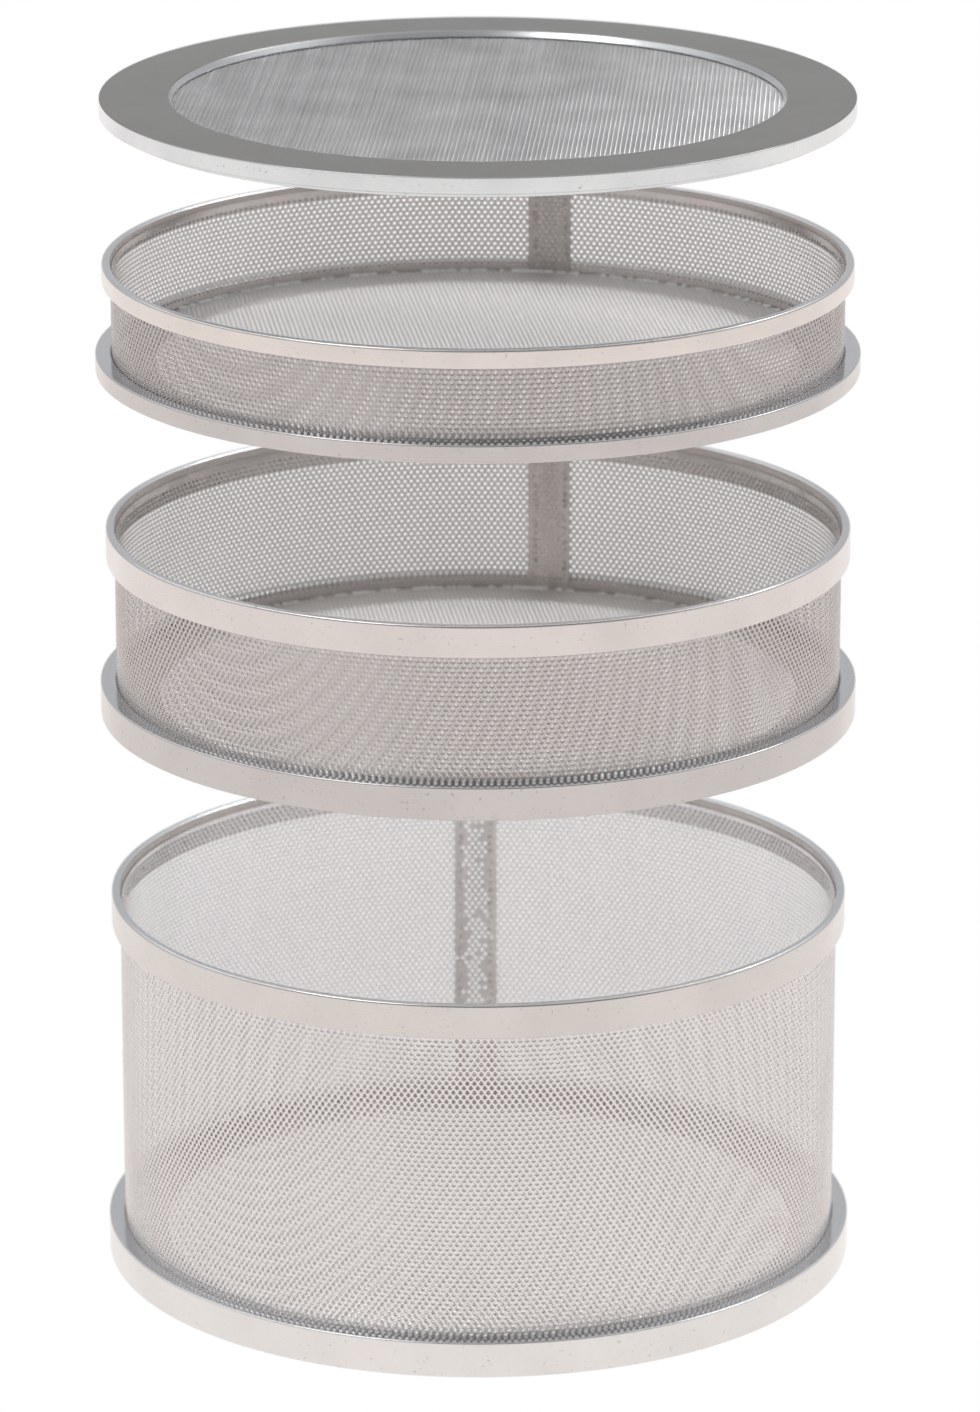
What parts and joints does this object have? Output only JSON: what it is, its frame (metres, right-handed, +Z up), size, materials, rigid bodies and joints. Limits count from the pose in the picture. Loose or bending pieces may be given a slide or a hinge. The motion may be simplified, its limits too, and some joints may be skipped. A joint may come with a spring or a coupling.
{
  "type": "nesting soil sieve",
  "caption": "Round stainless soil sieve: nesting perforated baskets of different depths with hoop rims, wide base rings and a wire-cloth lid, held apart on one axis.",
  "frame": {"origin": "centre of the tall basket's underside, on the common axis", "axes": "+Z up along the common axis of the tiers, from the tall basket towards the lid; the lap seams are on the +Y side"},
  "size_m": [0.204, 0.204, 0.3231],
  "materials": {
    "hoop_steel": "satin stainless flat bar",
    "ring_steel": "satin turned stainless steel",
    "lid_steel": "satin turned stainless steel",
    "wall_sheet": "bright perforated stainless sheet, staggered round holes",
    "floor_sheet": "bright perforated stainless sheet, staggered round holes",
    "lid_cloth": "bright drawn stainless wire, plain weave",
    "weld_metal": "bright resistance spot welds"
  },
  "bodies": {
    "tall_basket": {"tall_rim_band": "hoop_steel", "tall_base_ring": "ring_steel", "tall_wall_sheet": "wall_sheet", "tall_floor_sheet": "floor_sheet", "tall_floor_hoop": "ring_steel", "tall_rim_welds": "weld_metal", "tall_seam_welds": "weld_metal", "tall_floor_welds": "weld_metal"},
    "medium_basket": {"medium_rim_band": "hoop_steel", "medium_base_ring": "ring_steel", "medium_wall_sheet": "wall_sheet", "medium_floor_sheet": "floor_sheet", "medium_floor_hoop": "ring_steel", "medium_rim_welds": "weld_metal", "medium_seam_welds": "weld_metal", "medium_floor_welds": "weld_metal"},
    "short_basket": {"short_rim_band": "hoop_steel", "short_base_ring": "ring_steel", "short_wall_sheet": "wall_sheet", "short_floor_sheet": "floor_sheet", "short_floor_hoop": "ring_steel", "short_rim_welds": "weld_metal", "short_seam_welds": "weld_metal", "short_floor_welds": "weld_metal"},
    "lid": {"lid_ring": "lid_steel", "lid_locating_ring": "lid_steel", "lid_cloth": "lid_cloth", "lid_retaining_ring": "lid_steel", "lid_welds": "weld_metal"}
  },
  "joints": [
    {"name": "medium_lift", "type": "slide", "parent": "tall_basket", "child": "medium_basket", "axis": [0, 0, 1], "range_m": [-0.05535, 0]},
    {"name": "short_lift", "type": "slide", "parent": "medium_basket", "child": "short_basket", "axis": [0, 0, 1], "range_m": [-0.04525, 0]},
    {"name": "lid_lift", "type": "slide", "parent": "short_basket", "child": "lid", "axis": [0, 0, 1], "range_m": [-0.04005, 0]}
  ]
}
